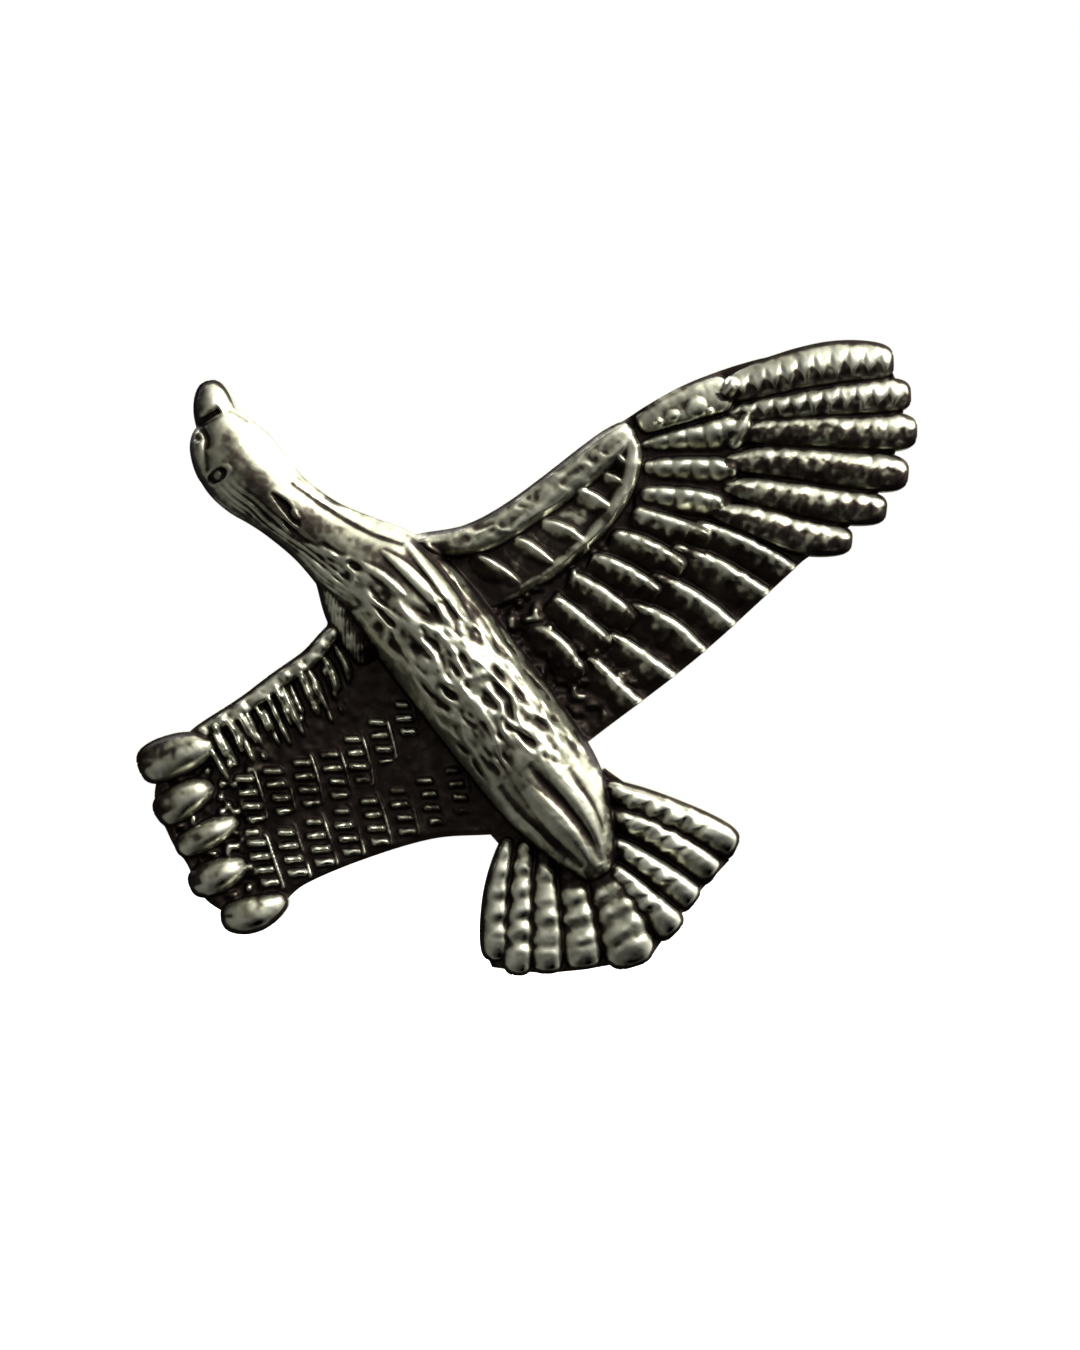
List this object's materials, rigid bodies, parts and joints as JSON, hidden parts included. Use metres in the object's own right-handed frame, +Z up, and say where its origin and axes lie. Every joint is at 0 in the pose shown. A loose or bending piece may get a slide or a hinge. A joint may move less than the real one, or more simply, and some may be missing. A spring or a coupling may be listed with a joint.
{
  "type": "cap badge",
  "caption": "Relief casting of a flying goose with spread wings and a fan tail, held on by nail posts and sprung butterfly clutches.",
  "frame": {"origin": "on the flat back of the casting, midway between the posts", "axes": "+Z up as worn, +X to the viewer's right, +Y out of the flat back towards the cap, so the goose faces -Y"},
  "size_m": [0.0451, 0.0132, 0.0367],
  "materials": {
    "pewter": "antiqued pewter: satin high spots and near-black recesses",
    "nickel": "bright nickel plating",
    "solder": "dull tin solder",
    "brass": "bright stamped sheet",
    "spring_brass": "bright spring sheet"
  },
  "bodies": {
    "badge": {"bird_casting": "pewter", "centre_post_pad": "nickel", "centre_post": "nickel", "centre_post_solder": "solder", "outer_post_pad": "nickel", "outer_post": "nickel", "outer_post_solder": "solder"},
    "centre_clutch": {"centre_clutch_base": "brass", "centre_clutch_keeper": "brass"},
    "centre_left_spring": {"centre_clutch_left_spring": "spring_brass"},
    "centre_right_spring": {"centre_clutch_right_spring": "spring_brass"},
    "outer_clutch": {"outer_clutch_base": "brass", "outer_clutch_keeper": "brass"},
    "outer_left_spring": {"outer_clutch_left_spring": "spring_brass"},
    "outer_right_spring": {"outer_clutch_right_spring": "spring_brass"}
  },
  "joints": [
    {"name": "centre_clutch_slide", "type": "slide", "parent": "badge", "child": "centre_clutch", "axis": [0, 1, 0], "range_m": [-0.0017, 0.009]},
    {"name": "outer_clutch_slide", "type": "slide", "parent": "badge", "child": "outer_clutch", "axis": [0, 1, 0], "range_m": [-0.0017, 0.009]},
    {"name": "centre_left_squeeze", "type": "slide", "parent": "centre_clutch", "child": "centre_left_spring", "axis": [0.9397, 0, -0.342], "range_m": [0, 0.0005]},
    {"name": "centre_right_squeeze", "type": "slide", "parent": "centre_clutch", "child": "centre_right_spring", "axis": [-0.9397, 0, 0.342], "range_m": [0, 0.0005]},
    {"name": "outer_left_squeeze", "type": "slide", "parent": "outer_clutch", "child": "outer_left_spring", "axis": [0.788, 0, 0.6157], "range_m": [0, 0.0005]},
    {"name": "outer_right_squeeze", "type": "slide", "parent": "outer_clutch", "child": "outer_right_spring", "axis": [-0.788, 0, -0.6157], "range_m": [0, 0.0005]}
  ],
  "couplings": [
    {"joint": "centre_right_squeeze", "follows": "centre_left_squeeze", "ratio": 1},
    {"joint": "outer_right_squeeze", "follows": "outer_left_squeeze", "ratio": 1}
  ]
}
